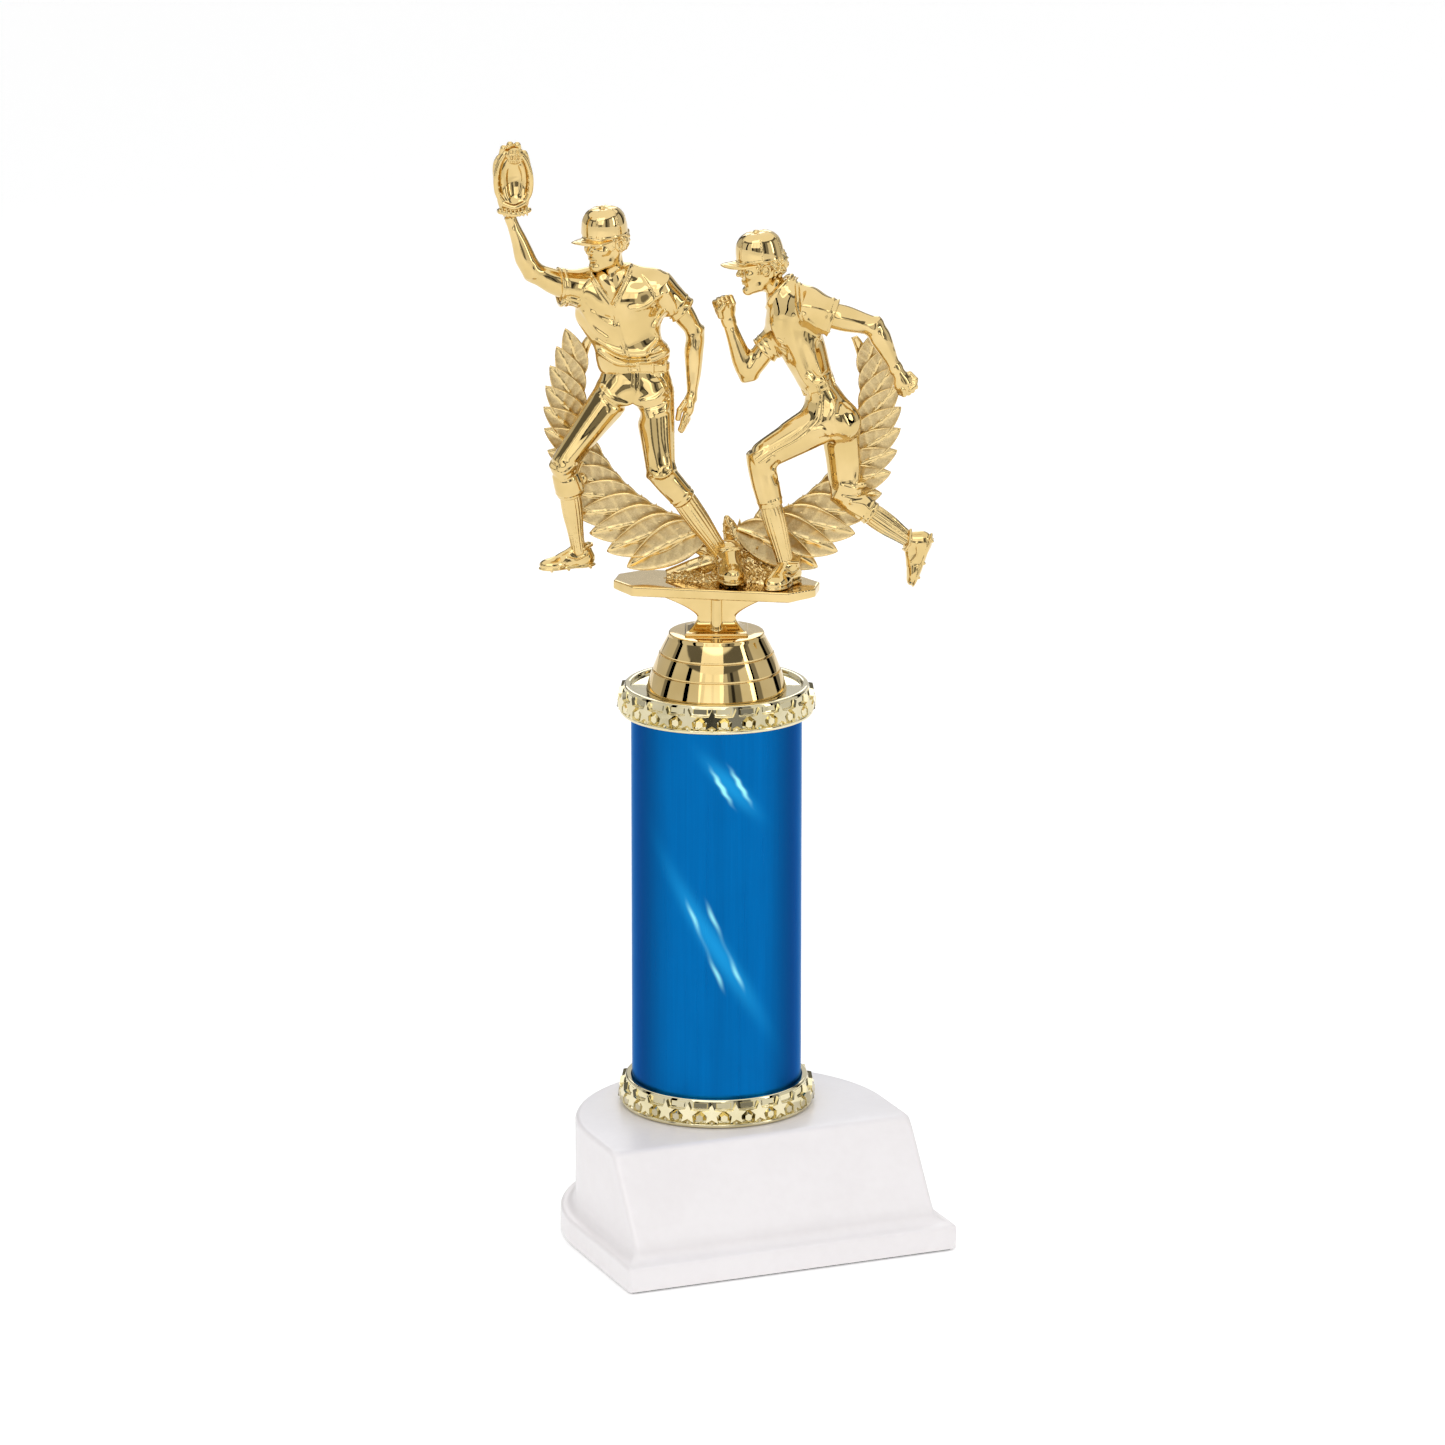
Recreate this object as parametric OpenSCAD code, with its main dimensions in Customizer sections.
// Column trophy: a weighted D-shaped base, a film-covered round column between two
// star-edged rings, a three-step riser and a two-player baseball figure on a leaf wreath.
// Millimetres, +Z up. The origin is on the column's axis, on the plane the base rests on,
// and the base's sloping front faces -Y.

/* [Base] */
// Width of the base's plinth
plinth_w = 92; // [84:1:110]
// Height of the plinth's edge above the resting plane
plinth_top = 7; // [6:0.5:9]
// Distance from the column's axis to the plinth's front edge
plinth_front = 53; // [50:1:62]
// Width of the base's body above the plinth
body_w = 84; // [72:1:88]
// Height of the base's top face above the resting plane
base_h = 31.2; // [27:0.2:40]
// Distance from the column's axis to the foot of the sloping front
slope_foot = 47.5; // [44:0.5:50]
// Distance from the column's axis to the top of the sloping front
slope_top = 31.6; // [28:0.2:38]
// Distance that the centre of the round back lies ahead of the column's axis
back_centre = 13; // [6:0.5:14]
// Radius of the cove between plinth and body
cove_r = 2.8; // [1:0.1:3.6]
// Wall of the hollow base shell
shell_t = 2.5; // [2:0.1:3.5]
// Thickness of the base shell's top
shell_top_t = 3; // [2.4:0.1:4]
// Diameter of the boss that the rod passes down through
boss_d = 15; // [13:0.5:20]
// Length of that boss below the shell's top
boss_len = 13.2; // [9:0.2:15]
// Thickness of the ribs inside the shell
rib_t = 2; // [1.4:0.1:3]
// Distance that the felt stands proud of the shell's rim
felt_proud = 0.5; // [0.3:0.1:1]
// Thickness of the felt pad
felt_t = 1.5; // [1:0.1:2]
// Thickness of the closing board that the felt is glued to
board_t = 1.5; // [1:0.1:2]
// Thickness of the cast weight
weight_t = 8; // [4:0.5:9]
// Diameter of the weight's hole around the nut
weight_hole_d = 26; // [22:0.5:34]

/* [Column] */
// Diameter of the column over its film
column_d = 44.45; // [40:0.05:54]
// Length of the column tube
column_len = 104.4; // [60:0.1:200]
// Wall of the column tube
tube_t = 1.6; // [1.2:0.1:2.4]
// Thickness of the coloured film
film_t = 0.15; // [0.1:0.05:0.3]

/* [Star rings] */
// Height of a star ring
ring_h = 7.5; // [7:0.1:9]
// Height of the seat web's underside in a ring
web_z = 4.8; // [4:0.1:5.2]
// Thickness of the seat web
web_t = 1.6; // [1.2:0.1:2]
// Wall of the ring's rim around the column
rim_t = 1.45; // [1:0.05:2]
// Width of the star band outside the rim
band_w = 1.5; // [1:0.1:2.5]
// Height of the star band's ledge
ledge_z = 5; // [4.6:0.1:5.4]
// Number of raised stars around a ring
star_count = 25; // [16:1:30]
// Height of a star from its feet to its tip
star_size = 5.2; // [4:0.1:5.4]
// Distance that a star stands out of its band
star_proud = 1.2; // [0.4:0.1:1.6]

/* [Riser] */
// Radius of the riser's foot
riser_foot_r = 18.2; // [17:0.1:20]
// Radius at the first step
riser_step1_r = 16.6; // [16:0.1:17]
// Radius at the second step
riser_step2_r = 14.7; // [14:0.1:15.5]
// Radius of the riser's flat top
riser_top_r = 12.5; // [12:0.1:13.5]
// Height of the riser
riser_h = 15; // [12:0.5:20]
// Depth of the groove that marks each step
step_groove = 0.45; // [0.2:0.05:0.8]
// Wall of the riser
riser_t = 1.8; // [1.4:0.1:2.4]

/* [Fixings] */
// Diameter of the threaded rod over its thread
rod_d = 6.35; // [6:0.05:7]
// Distance that the rod reaches up into the figure's hub
rod_reach = 8.5; // [5:0.1:9]
// Distance that the rod stands out below its nut
rod_out = 1.6; // [0.5:0.1:2]
// Width across flats of the rod's nut
nut_af = 11.1; // [10:0.1:13]
// Thickness of the rod's nut
nut_t = 5.6; // [5:0.1:6.5]
// Diameter of the flat washer
washer_d = 18.6; // [16:0.1:20]
// Thickness of the flat washer
washer_t = 1.5; // [1:0.1:2]
// Diameter of the spring lock washer
lock_d = 12.4; // [11:0.1:14]
// Thickness of the spring lock washer
lock_t = 1.6; // [1.2:0.1:2]
// Diameter of the brass insert in the figure's hub
insert_d = 9; // [8.4:0.1:9.6]
// Length of the brass insert
insert_len = 8; // [6:0.5:9]
// Radial clearance of the thread, taken as plain
thread_gap = 0.05; // [0.03:0.01:0.08]
// Radial clearance of the rod in the holes it passes through
rod_gap = 0.35; // [0.3:0.05:0.6]
// Clearance between pieces that are pushed or glued together
seat_gap = 0.1; // [0.05:0.05:0.3]
// Radial clearance of the figure's hub in the riser
hub_gap = 0.08; // [0.03:0.01:0.1]

/* [Figure stand] */
// Diameter of the hub below the figure's foot
hub_d = 12; // [11:0.1:13]
// Length of the hub
hub_len = 10; // [8:0.5:11]
// Height of the stem from its foot to the deck's underside
stem_h = 9.9; // [8:0.1:14]
// Width of the stem's foot
foot_w = 16.4; // [14:0.2:17]
// Depth of the stem's foot
foot_d = 12; // [10:0.2:14]
// Width of the stem's waist
waist_w = 10; // [8:0.2:14]
// Width of the stem where it meets the deck
crown_w = 30; // [24:0.5:36]
// Thickness of the stem's web
stem_t = 4; // [3:0.1:6]
// Diameter of the post in the middle of the stem
post_d = 4.4; // [4.2:0.1:6.4]
// Length of the deck
deck_w = 53; // [48:0.5:60]
// Depth of the deck
deck_d = 21; // [20:0.5:26]
// Thickness of the deck at its middle
deck_t = 2.7; // [2.4:0.1:4]
// Thickness of the deck at its ends
deck_end_t = 1.4; // [1.2:0.1:2.2]
// Cut of the deck's corners
deck_chamfer = 6; // [3:0.5:8]
// Turn of the figure group from the base's front
figure_yaw = -22.5; // [-45:0.5:45]
// Turn of the deck within the figure group
deck_yaw = -10; // [-12:0.5:12]
// Diameter of the pegs that locate the players
peg_d = 2; // [1.6:0.1:2.4]
// Length of the pegs that locate the players
peg_len = 2.4; // [1.6:0.1:3]

/* [Wreath] */
// Thickness of a leaf spray
spray_t = 2.6; // [2:0.1:3.2]
// Distance of a spray's front face behind the middle of the figure
spray_y = 5.2; // [4.8:0.1:5.8]
// Sideways place of the wreath's centre
wreath_x = 1.5; // [0:0.5:3]
// Height of the wreath's centre above the deck
wreath_z = 51; // [48:0.5:56]
// Inner radius of the wreath
wreath_r = 36; // [34:0.5:37]
// Width of the inner rim of a spray
rim_w = 4.5; // [3:0.5:6]
// Number of outer leaves on a spray
leaf_count = 8; // [6:1:10]
// Length of an outer leaf
leaf_len = 18; // [14:0.5:20]
// Width of an outer leaf
leaf_w = 10; // [7:0.5:11]

/* [Hidden] */
$fn = 96;
eps = 0.01;

gold = "#d9b45a";
pale_gold = "#e0d9a0";
plinth_r = plinth_w / 2;
body_r = body_w / 2;
board_z = felt_t;
weight_z = board_z + board_t;
rebate_lip = 1.2;
cove_land = 0.25;
nut_seat = base_h - shell_top_t - boss_len;
washer_z = nut_seat - washer_t;
lock_z = washer_z - lock_t;
nut_z = lock_z - nut_t;
rod_z = nut_z - rod_out;
hole_r = rod_d / 2 + rod_gap;
thread_r = rod_d / 2 + thread_gap;
column_r = column_d / 2;
tube_r = column_r - film_t;
rim_in_r = column_r + seat_gap;
rim_out_r = rim_in_r + rim_t;
band_r = rim_out_r + band_w;
column_z = base_h + web_z + web_t;
cap_z = column_z + column_len - web_z;
riser_z = cap_z + web_z + web_t;
foot_z = riser_z + riser_h;
hub_z = foot_z - hub_len;
rod_len = hub_z + rod_reach - rod_z;
stem_top = foot_z + stem_h;
deck_z = stem_top + deck_t;
hub_r = hub_d / 2;
step1_z = 0.36 * riser_h;
step2_z = 0.667 * riser_h;
tongue_w = 9;
tongue_h = 1.1;
fielder_peg = [3.4, 0.2];
runner_peg = [18.6, -3.6];
fielder_lug = [-25, 63.5];
runner_lug = [25.5, 55];

// ---------- shared shapes ----------

// The base's outline: straight sides and front, round back, r from side to middle.
module d_outline(r, front) {
    intersection() {
        translate([0, -back_centre]) circle(r);
        translate([-r, -back_centre]) square(2 * r);
    }
    translate([-r, -front]) square([2 * r, front - back_centre]);
}

module d_slab(r, front, z, h) {
    translate([0, 0, z]) linear_extrude(h) d_outline(r, front);
}

// Half of the body's section, from its middle to its side wall, with the cove at its foot.
module wall_profile(r, h) {
    polygon(concat([[0, 0], [r + cove_r, 0]], cove_points(r), [[r, h], [0, h]]));
}

// The cove's points, outwards from a wall at r, rising from height 0 in eight flats.
function cove_points(r) =
    [for (a = [0:11.25:90]) [r + cove_r * (1 - sin(a)),
                             cove_land + (cove_r - cove_land) * (1 - cos(a))]];

// The body seen from its side, x being the distance ahead of the column's axis.
module side_profile() {
    h = base_h - plinth_top;
    polygon(concat([[-plinth_w, 0], [slope_foot + cove_r, 0]], cove_points(slope_foot),
                   [[slope_top, h], [-plinth_w, h]]));
}

// The hollow seen from its side: the same slope, moved back by the wall.
module hollow_profile() {
    low = plinth_top + cove_r;
    rise = base_h - low;
    run = slope_foot - slope_top;
    foot = slope_foot - shell_t * sqrt(rise * rise + run * run) / rise;
    ceiling = base_h - shell_top_t;
    polygon([[-plinth_w, 0], [foot, 0], [foot, low], [foot - run / rise * (ceiling - low), ceiling],
             [-plinth_w, ceiling]]);
}

// A profile with x ahead of the axis and y upwards, drawn out across the base.
module across() {
    translate([plinth_w, 0, 0]) rotate([90, 0, -90]) linear_extrude(2 * plinth_w) children();
}

module base_body() {
    h = base_h - plinth_top;
    translate([0, 0, plinth_top]) intersection() {
        across() side_profile();
        union() {
            translate([0, -back_centre, 0]) rotate([90, 0, 0]) linear_extrude(plinth_front) {
                wall_profile(body_r, h);
                mirror([1, 0]) wall_profile(body_r, h);
            }
            translate([0, -back_centre, 0]) rotate_extrude(angle = 180) wall_profile(body_r, h);
        }
    }
}

module tube(r_out, r_in, z, h) {
    translate([0, 0, z]) difference() {
        cylinder(h = h, r = r_out);
        translate([0, 0, -1]) cylinder(h = h + 2, r = r_in);
    }
}

module star_outline(size) {
    r = size / 1.809;
    polygon([for (i = [0:9]) let (a = 90 + 36 * i, q = i % 2 == 0 ? r : 0.42 * r)
             [q * cos(a), q * sin(a)]]);
}

// A leaf of length l and width w along +X, broadest before its middle.
module leaf_outline(l, w) {
    steps = 8;
    polygon(concat(
        [for (i = [0:steps]) let (t = i / steps) [t * l, w / 2 * sin(180 * pow(t, 0.8))]],
        [for (i = [steps - 1:-1:1]) let (t = i / steps) [t * l, -w / 2 * sin(180 * pow(t, 0.8))]]));
}

// ---------- base ----------

module base_shell() {
    rim_r = plinth_r - shell_t + rebate_lip;
    rim_front = plinth_front - shell_t + rebate_lip;
    color("#f4f2f1") difference() {
        union() {
            d_slab(plinth_r, plinth_front, felt_proud, plinth_top - felt_proud);
            base_body();
        }
        difference() {
            union() {
                intersection() {
                    across() hollow_profile();
                    d_slab(body_r - shell_t, plinth_front, weight_z - 1, base_h);
                }
                d_slab(plinth_r - shell_t, plinth_front - shell_t, weight_z - 1,
                       plinth_top - shell_t - weight_z + 1);
            }
            translate([0, 0, nut_seat]) cylinder(h = boss_len + 1, d = boss_d);
            shell_ribs();
        }
        d_slab(rim_r, rim_front, felt_proud - 1, weight_z - felt_proud + 1);
        translate([0, 0, nut_seat - 1]) cylinder(h = base_h, r = hole_r);
    }
}

// Four ribs from the boss to the walls, cut away below the boss for the nut and washers.
module shell_ribs() {
    rib_z = weight_z + weight_t + seat_gap;
    rib_h = base_h - shell_top_t - rib_z + 1;
    difference() {
        union() {
            translate([-body_r, -rib_t / 2, rib_z]) cube([2 * body_r, rib_t, rib_h]);
            translate([-rib_t / 2, -slope_foot, rib_z]) cube([rib_t, slope_foot + body_r, rib_h]);
        }
        translate([0, 0, rib_z - 1]) cylinder(h = nut_seat - rib_z + 1, d = weight_hole_d);
    }
}

module base_weight() {
    front = slope_foot - shell_t - 0.78 * (weight_z + weight_t - plinth_top - cove_r) - 2;
    color("#55585c") difference() {
        d_slab(body_r - shell_t - 0.3, front, weight_z, weight_t);
        translate([0, 0, weight_z - 1]) cylinder(h = weight_t + 2, d = weight_hole_d);
    }
}

module base_board() {
    color("#8a6f52")
        d_slab(plinth_r - shell_t + rebate_lip - seat_gap,
               plinth_front - shell_t + rebate_lip - seat_gap, board_z, board_t);
}

module felt_pad() {
    color("#2e3b33")
        d_slab(plinth_r - shell_t + rebate_lip - seat_gap,
               plinth_front - shell_t + rebate_lip - seat_gap, 0, felt_t);
}

// ---------- fixings ----------

module check_rod() {
    bevel = 0.6;
    r = rod_d / 2;
    color("#b9bcc0") translate([0, 0, rod_z])
        rotate_extrude() polygon([[0, 0], [r - bevel, 0], [r, bevel], [r, rod_len - bevel],
                                  [r - bevel, rod_len], [0, rod_len]]);
}

module rod_nut() {
    color("#c3c6c9") translate([0, 0, nut_z]) difference() {
        cylinder(h = nut_t, d = nut_af / cos(30), $fn = 6);
        translate([0, 0, -1]) cylinder(h = nut_t + 2, r = thread_r);
    }
}

module lock_washer() {
    color("#aeb1b5") difference() {
        tube(lock_d / 2, hole_r, lock_z, lock_t);
        translate([0, -0.4, lock_z - 1]) cube([lock_d, 0.8, lock_t + 2]);
    }
}

module flat_washer() {
    color("#bfc2c6") tube(washer_d / 2, hole_r, washer_z, washer_t);
}

// ---------- star rings and column ----------

// An H-section ring: a seat web with a rod hole, sockets above and below, stars outside.
module star_ring(z) {
    color(pale_gold) translate([0, 0, z]) union() {
        difference() {
            rotate_extrude()
                polygon([[hole_r, web_z], [rim_in_r, web_z], [rim_in_r, 0], [band_r - 0.4, 0],
                         [band_r, 0.5], [band_r, 1.4], [band_r - 0.7, 2], [band_r - 0.7, ledge_z - 0.4],
                         [band_r - 0.4, ledge_z], [band_r - 0.9, ledge_z + 0.3],
                         [rim_out_r + 0.5, ring_h - 0.5], [rim_out_r, ring_h], [rim_in_r, ring_h],
                         [rim_in_r, web_z + web_t], [hole_r, web_z + web_t]]);
        }
        for (i = [0:star_count - 1])
            rotate([0, 0, 360 * i / star_count])
                translate([band_r - 1.3, 0, 1.7 + star_size * 0.447])
                    rotate([90, 0, 90]) linear_extrude(star_proud + 0.5) star_outline(star_size);
    }
}

module lower_star_ring() { star_ring(base_h); }
module upper_star_ring() { star_ring(cap_z); }

module column_tube() {
    color("#d8dade") tube(tube_r, tube_r - tube_t, column_z, column_len);
}

module column_film() {
    color("#0a63c8") tube(column_r, tube_r, column_z, column_len);
}

// ---------- riser ----------

module riser_profile() {
    g = step_groove;
    polygon([[0, 0], [riser_foot_r - 0.2, 0], [riser_foot_r, 0.8],
             [riser_step1_r + 0.5, step1_z - 0.3], [riser_step1_r - g, step1_z],
             [riser_step1_r, step1_z + 0.3], [riser_step2_r + 0.5, step2_z - 0.3],
             [riser_step2_r - g, step2_z], [riser_step2_r, step2_z + 0.3],
             [riser_top_r + 0.6, riser_h - 0.6], [riser_top_r, riser_h], [0, riser_h]]);
}

module figure_riser() {
    color(gold) translate([0, 0, riser_z]) difference() {
        rotate_extrude() riser_profile();
        rotate_extrude()
            polygon([[0, -1], [riser_foot_r - riser_t, -1], [riser_foot_r - riser_t, 0.8],
                     [riser_top_r - riser_t, riser_h - riser_t], [0, riser_h - riser_t]]);
        cylinder(h = riser_h + 1, r = hub_r + hub_gap);
    }
}

// ---------- figure stand ----------

module figure_insert() {
    color("#c9a03f") rotate([0, 0, figure_yaw])
        tube(insert_d / 2, thread_r, hub_z, insert_len);
}

module deck() {
    half = deck_w / 2;
    flat = crown_w / 2;
    c = deck_chamfer;
    intersection() {
        translate([0, deck_d, 0]) rotate([90, 0, 0]) linear_extrude(2 * deck_d)
            polygon([[-half, deck_z], [-half, deck_z - deck_end_t], [-flat, deck_z - deck_t],
                     [flat, deck_z - deck_t], [half, deck_z - deck_end_t], [half, deck_z]]);
        translate([0, 0, deck_z - deck_t - 1]) linear_extrude(deck_t + 2)
            polygon([[-half + c, -deck_d / 2], [half - c, -deck_d / 2], [half, -deck_d / 2 + c],
                     [half, deck_d / 2 - c], [half - c, deck_d / 2], [-half + c, deck_d / 2],
                     [-half, deck_d / 2 - c], [-half, -deck_d / 2 + c]]);
    }
}

module stem_web() {
    waist_z = 0.45 * stem_h;
    f = foot_w / 2;
    w = waist_w / 2;
    k = crown_w / 2;
    translate([0, 0, foot_z]) intersection() {
        translate([0, foot_d, 0]) rotate([90, 0, 0]) linear_extrude(2 * foot_d)
            polygon([[-f, 0], [-f, 0.8], [-w - 0.8, waist_z - 1.2], [-w, waist_z],
                     [-w - 1.2, waist_z + 1.2], [-k, stem_h - 0.5], [-k, stem_h + eps],
                     [k, stem_h + eps], [k, stem_h - 0.5], [w + 1.2, waist_z + 1.2],
                     [w, waist_z], [w + 0.8, waist_z - 1.2], [f, 0.8], [f, 0]]);
        rotate([90, 0, 90]) translate([0, 0, -crown_w]) linear_extrude(2 * crown_w)
            polygon([[-foot_d / 2, 0], [-foot_d / 2, 0.8], [-stem_t / 2, waist_z],
                     [-stem_t / 2, stem_h + eps], [stem_t / 2, stem_h + eps],
                     [stem_t / 2, waist_z], [foot_d / 2, 0.8], [foot_d / 2, 0]]);
    }
}

module peg(p, gap) {
    translate([p[0], p[1], deck_z - 0.5]) cylinder(h = peg_len + 0.5 + gap, d = peg_d + 2 * gap, $fn = 32);
}

module figure_stand() {
    color(gold) rotate([0, 0, figure_yaw]) {
        difference() {
            union() {
                rotate([0, 0, deck_yaw]) {
                    deck();
                    stem_web();
                    translate([0, 0, foot_z]) cylinder(h = stem_h + eps, d = post_d);
                }
                translate([0, 0, hub_z]) cylinder(h = hub_len + 0.8, r = hub_r);
                peg(fielder_peg, 0);
                peg(runner_peg, 0);
            }
            translate([0, 0, hub_z - 1]) cylinder(h = insert_len + 1, r = insert_d / 2);
            translate([0, 0, hub_z]) cylinder(h = hub_len, r = hole_r);
            spray_tongue(-1, seat_gap);
            spray_tongue(1, seat_gap);
        }
    }
}

// ---------- leaf sprays ----------

// The tongue below a spray, which stands in a slot of the deck.
module spray_tongue(side, gap) {
    x = side < 0 ? wreath_x - 1.2 - tongue_w : wreath_x + 1.2;
    translate([x - gap, spray_y - gap, deck_z - tongue_h - gap])
        cube([tongue_w + 2 * gap, spray_t / 2 + 2 * gap, tongue_h + gap + eps]);
}

// One spray seen from the front, in the wreath's own plane: x outwards, y up from the deck.
module spray_outline(reach, lug) {
    cz = wreath_z;
    first = 14;
    last = 106;
    mid_r = wreath_r + rim_w / 2;
    difference() {
        union() {
            polygon(concat(
                [for (a = [first:4:last]) [wreath_r * sin(a), cz - wreath_r * cos(a)]],
                [for (a = [last:-4:first]) [(wreath_r + rim_w) * sin(a), cz - (wreath_r + rim_w) * cos(a)]]));
            for (i = [0:leaf_count - 1])
                let (a = first + 4 + (last - first) * i / leaf_count)
                translate([mid_r * sin(a), cz - mid_r * cos(a)])
                    rotate(a - 24 + 10 * i / leaf_count) leaf_outline(leaf_len, leaf_w);
            polygon([[0.6, 0], [reach, 0], [reach - 1, 5], [wreath_r * sin(40), cz - wreath_r * cos(40)],
                     [wreath_r * sin(first), cz - wreath_r * cos(first)], [0.6, cz - wreath_r]]);
            translate([mid_r * sin(last - 20), cz - mid_r * cos(last - 20)])
                rotate(atan2(lug[1] - cz + mid_r * cos(last - 20), lug[0] - mid_r * sin(last - 20)))
                    leaf_outline(leaf_len + 2, leaf_w);
        }
        translate([-2 * wreath_r, -20]) square([2 * wreath_r + 0.6, 200]);
        translate([-5, -20]) square([100, 20]);
    }
}

module leaf_spray(side, lug, reach) {
    local_lug = [abs(lug[0] - wreath_x), lug[1]];
    color("#c4a04c") rotate([0, 0, figure_yaw]) {
        translate([wreath_x, spray_y + spray_t, deck_z])
            mirror([side < 0 ? 1 : 0, 0, 0]) rotate([90, 0, 0])
                linear_extrude(spray_t) spray_outline(reach, local_lug);
        spray_tongue(side, 0);
        translate([lug[0], spray_y + eps, deck_z + lug[1]]) rotate([90, 0, 0])
            cylinder(h = peg_len, d = peg_d, $fn = 32);
    }
}

module left_leaf_spray() { leaf_spray(-1, fielder_lug, 15); }
module right_leaf_spray() { leaf_spray(1, runner_lug, 20); }

// ---------- players ----------

// Joints of the players, from the deck's top, before the group is turned.
module limb(a, ra, b, rb) {
    hull() {
        translate(a) sphere(ra, $fn = 16);
        translate(b) sphere(rb, $fn = 16);
    }
}

// An ellipsoid with half sizes s, centred at p and turned by t.
module blob(p, s, t = [0, 0, 0]) {
    translate(p) rotate(t) scale(s) sphere(1, $fn = 20);
}

// A capped head at p that faces along -X before the turns t, with its brim.
module head(p, t) {
    translate(p) rotate(t) {
        blob([0.2, 0, 0], [5.2, 4.3, 5.4]);
        blob([-1.2, 0, -3], [3.7, 3.1, 4.4]);
        difference() {
            blob([0.3, 0, 1.6], [6, 5.2, 6.8]);
            translate([-10, -10, -10]) cube([20, 20, 11.4]);
        }
        hull() {
            translate([-4, -3.6, 1.6]) cylinder(h = 0.9, r = 1, $fn = 16);
            translate([-4, 3.6, 1.6]) cylinder(h = 0.9, r = 1, $fn = 16);
            translate([-7.4, 0, 1.1]) cylinder(h = 0.7, r = 2.4, $fn = 16);
        }
    }
}

module fielder() {
    hip_l = [-25.8, 0, 52.4];
    hip_r = [-16.8, 0, 52.4];
    knee_l = [-40.2, -5, 33];
    cuff_l = [-38.4, -2.4, 25.2];
    ankle_l = [-36.4, 1.6, 11];
    knee_r = [-14.4, -5, 30.8];
    cuff_r = [-8.4, -3, 23.6];
    ankle_r = [1, 0.6, 10];
    chest = [-25.2, -0.2, 72];
    shoulder_l = [-33.6, -0.4, 80];
    shoulder_r = [-16, -0.2, 79.6];
    elbow_l = [-47.6, -5.6, 84.6];
    elbow_r = [-5.6, 3, 66.6];
    wrist_l = [-53, -7, 98.4];
    wrist_r = [-6.4, 1.2, 50.4];
    color(gold) rotate([0, 0, figure_yaw]) difference() {
        translate([0, 0, deck_z]) union() {
            limb(hip_l, 5, knee_l, 3.3);
            limb(knee_l, 3.4, cuff_l, 3.2);
            limb(cuff_l, 2.8, ankle_l, 2);
            limb([-34.4, 3.4, 6.4], 2, [-45.2, -2.6, 6.2], 1.8);
            limb(ankle_l, 2, [-41, -0.8, 7.2], 2.1);
            limb(hip_r, 5, knee_r, 3.6);
            limb(knee_r, 3.6, cuff_r, 3.1);
            limb(cuff_r, 3, ankle_r, 2.2);
            limb(ankle_r, 2.3, [3.8, 2.4, 4.4], 2.6);
            limb([3.8, 2.4, 2.8], 2.6, [3.4, -5.2, 2.3], 2.3);
            limb(ankle_r, 2.1, [3.4, -3.2, 4], 2.3);
            limb([-25, 0, 54], 5, [-17.4, 0, 54], 5);
            limb([-25.6, 0, 60], 4.8, [-17.8, 0, 60], 4.8);
            limb([-31, -0.2, 72], 5, [-19.4, -0.2, 72], 5);
            limb([-25.4, 0, 61], 5, [-30, 0, 73], 5.4);
            limb([-17.8, 0, 61], 4.6, [-19.6, 0, 73], 5);
            limb(shoulder_l, 4.2, shoulder_r, 4);
            limb(chest, 5.4, [-25.6, -0.4, 79], 4.6);
            limb([-25, -0.4, 81], 3, [-27.6, -0.6, 88], 2.8);
            limb(shoulder_l, 4, [-40, -3, 80.8], 4.2);
            limb(shoulder_l, 3, elbow_l, 2.7);
            limb(elbow_l, 2.7, wrist_l, 1.8);
            limb(shoulder_r, 3.8, [-9.4, 1.4, 73], 3.6);
            limb(shoulder_r, 3, elbow_r, 2.4);
            limb(elbow_r, 2.4, wrist_r, 1.7);
            limb(wrist_r, 1.6, [-8, -0.6, 43.6], 1.9);
            blob([-52.2, -7.4, 109.6], [5.2, 3, 9.6]);
            head([-28.6, -1.4, 92.6], [0, 0, 50]);
        }
        peg(fielder_peg, seat_gap);
        lug_hole(fielder_lug);
        translate([-60, -40, deck_z - 10]) cube([120, 80, 10]);
        translate([-60, spray_y, deck_z - 1]) cube([120, 20, 130]);
    }
}

module lug_hole(p) {
    translate([p[0], spray_y + 1, deck_z + p[1]]) rotate([90, 0, 0])
        cylinder(h = peg_len + 1 + seat_gap, d = peg_d + 2 * seat_gap, $fn = 32);
}

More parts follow.
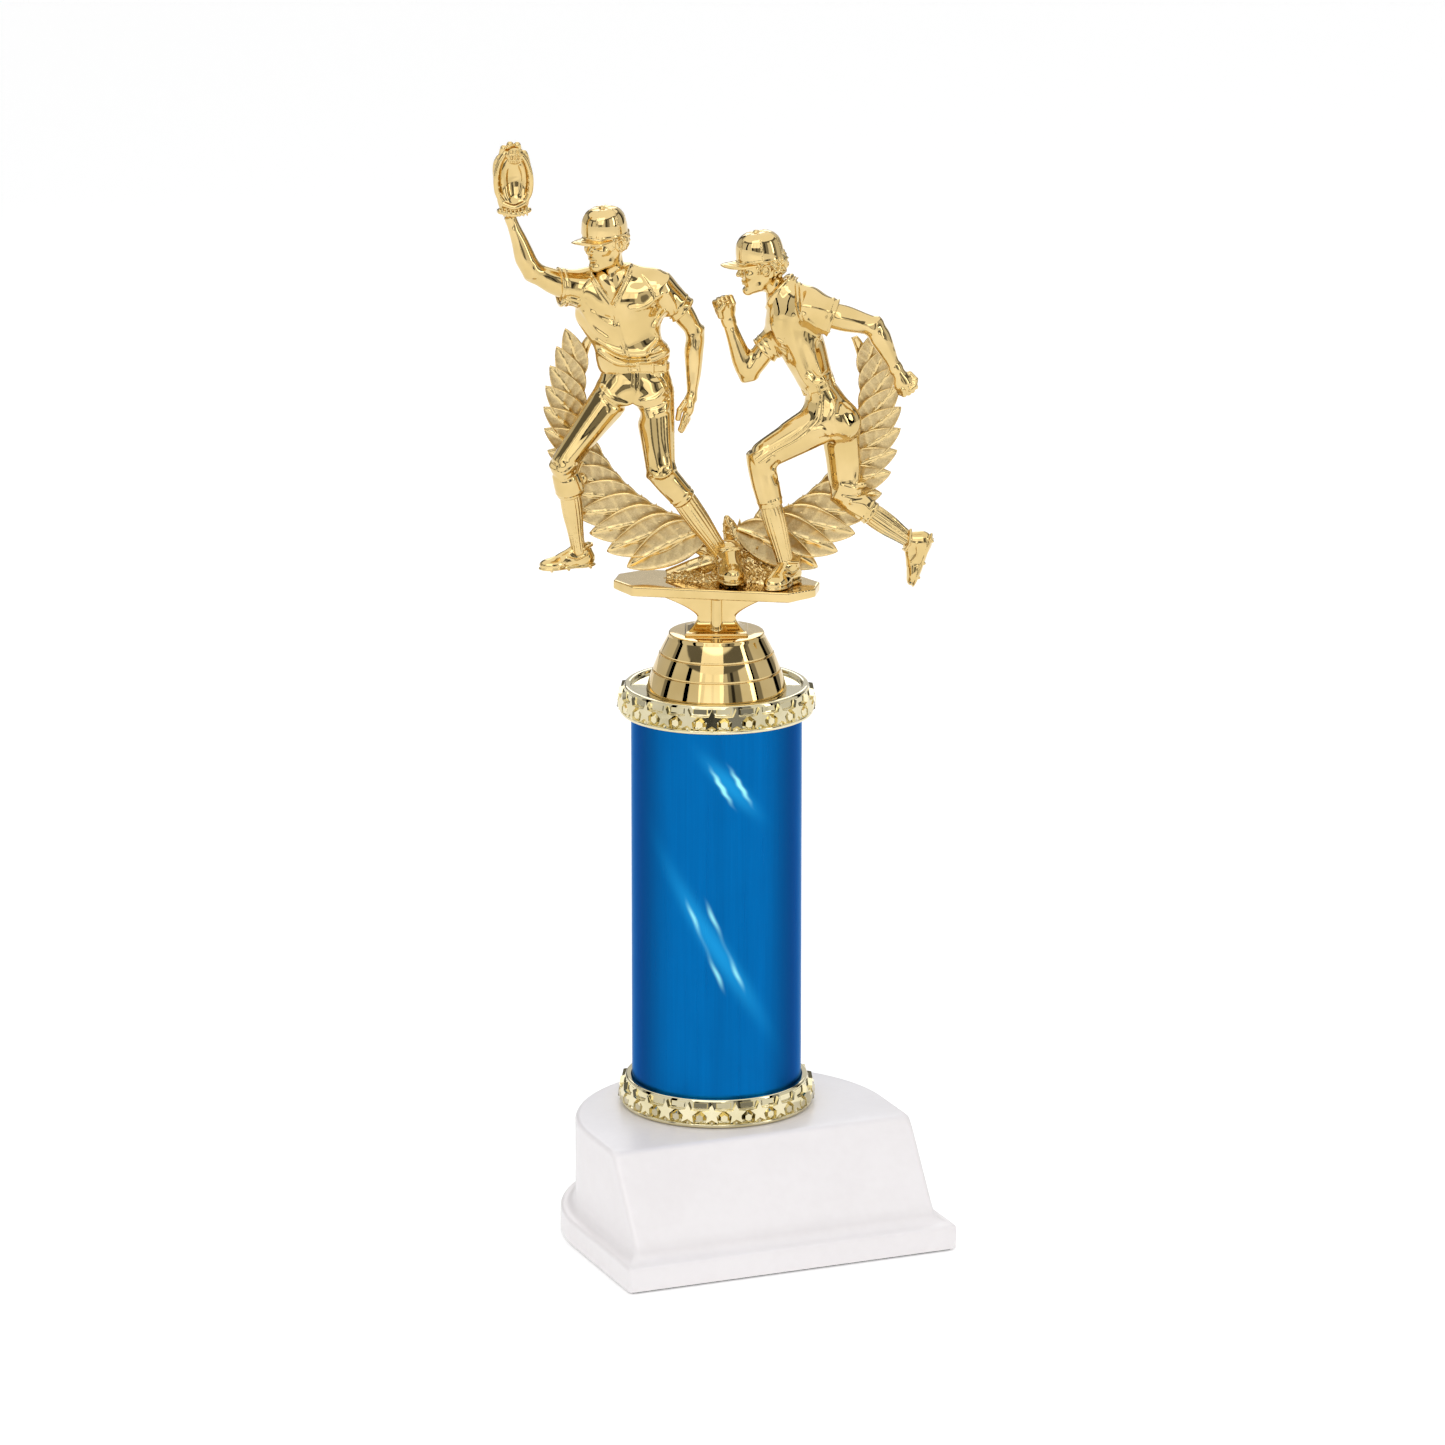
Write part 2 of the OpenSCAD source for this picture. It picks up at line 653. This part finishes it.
module runner() {
    hip_near = [30.6, -2.4, 46];
    hip_far = [32, 1.4, 44];
    knee_near = [10.8, -4.6, 35.4];
    cuff_near = [14.2, -4.4, 22.4];
    ankle_near = [18, -3.6, 8.4];
    knee_far = [33.6, 1.4, 23.4];
    cuff_far = [39.8, 1.4, 19.6];
    ankle_far = [50.8, 1.4, 11.2];
    chest = [21.6, -1, 68.6];
    shoulder_near = [24.4, -5.4, 74.6];
    shoulder_far = [17.6, 1.2, 66.4];
    elbow_near = [41, -6, 71];
    elbow_far = [8.2, 0.8, 55.6];
    wrist_near = [46.2, -4.4, 59.4];
    wrist_far = [3.4, 0.4, 69.8];
    color(gold) rotate([0, 0, figure_yaw]) difference() {
        translate([0, 0, deck_z]) union() {
            limb(hip_near, 4.9, knee_near, 3.6);
            limb(knee_near, 3.6, cuff_near, 3.1);
            limb(cuff_near, 2.9, ankle_near, 2.3);
            limb(ankle_near, 2.4, [19.8, -3, 2.6], 2.6);
            limb([19.8, -3, 2.6], 2.6, [14.6, -5, 2.3], 2.3);
            limb(hip_far, 4.9, knee_far, 3.7);
            limb(knee_far, 3.7, cuff_far, 3.1);
            limb(cuff_far, 2.9, ankle_far, 2);
            limb([54.4, 1.4, 9.2], 2, [51.6, 1.4, -1], 1.8);
            limb(ankle_far, 2, [52.6, 1.4, 3], 2);
            limb([30, -0.4, 46], 5, [26.8, -0.4, 53.6], 4.4);
            limb([26.8, -0.4, 53.6], 4.6, [23.4, -0.8, 64], 5.4);
            limb([23.4, -0.8, 64], 5.4, [20.6, -1, 72], 5);
            limb([20.6, -1, 72], 4.6, shoulder_near, 3.8);
            limb([19, -1, 74], 4, [13.8, -0.8, 80.4], 2.9);
            limb(chest, 4.6, shoulder_far, 3.4);
            limb(shoulder_near, 4, [30.6, -6, 73.6], 3.8);
            limb(shoulder_near, 3, elbow_near, 2.5);
            limb(elbow_near, 2.5, wrist_near, 1.7);
            limb(wrist_near, 1.8, [50, -3.8, 53.4], 2.9);
            limb(shoulder_far, 3.4, [12.8, 1, 62.4], 3.4);
            limb(shoulder_far, 3, elbow_far, 2.5);
            limb(elbow_far, 2.5, wrist_far, 1.8);
            limb(wrist_far, 1.9, [2.2, 0.2, 74.4], 3);
            head([11, -0.8, 86], [0, -8, -8]);
        }
        peg(runner_peg, seat_gap);
        lug_hole(runner_lug);
        translate([-60, spray_y, deck_z - 10]) cube([120, 20, 130]);
        intersection() {
            translate([-60, -40, deck_z - 10]) cube([120, 80, 10]);
            rotate([0, 0, deck_yaw]) translate([-deck_w / 2 - 1, -deck_d / 2 - 1, deck_z - 10])
                cube([deck_w + 2, deck_d + 2, 10]);
        }
    }
}

base_shell();
base_weight();
base_board();
felt_pad();
check_rod();
rod_nut();
lock_washer();
flat_washer();
lower_star_ring();
column_tube();
column_film();
upper_star_ring();
figure_riser();
figure_insert();
figure_stand();
left_leaf_spray();
right_leaf_spray();
fielder();
runner();
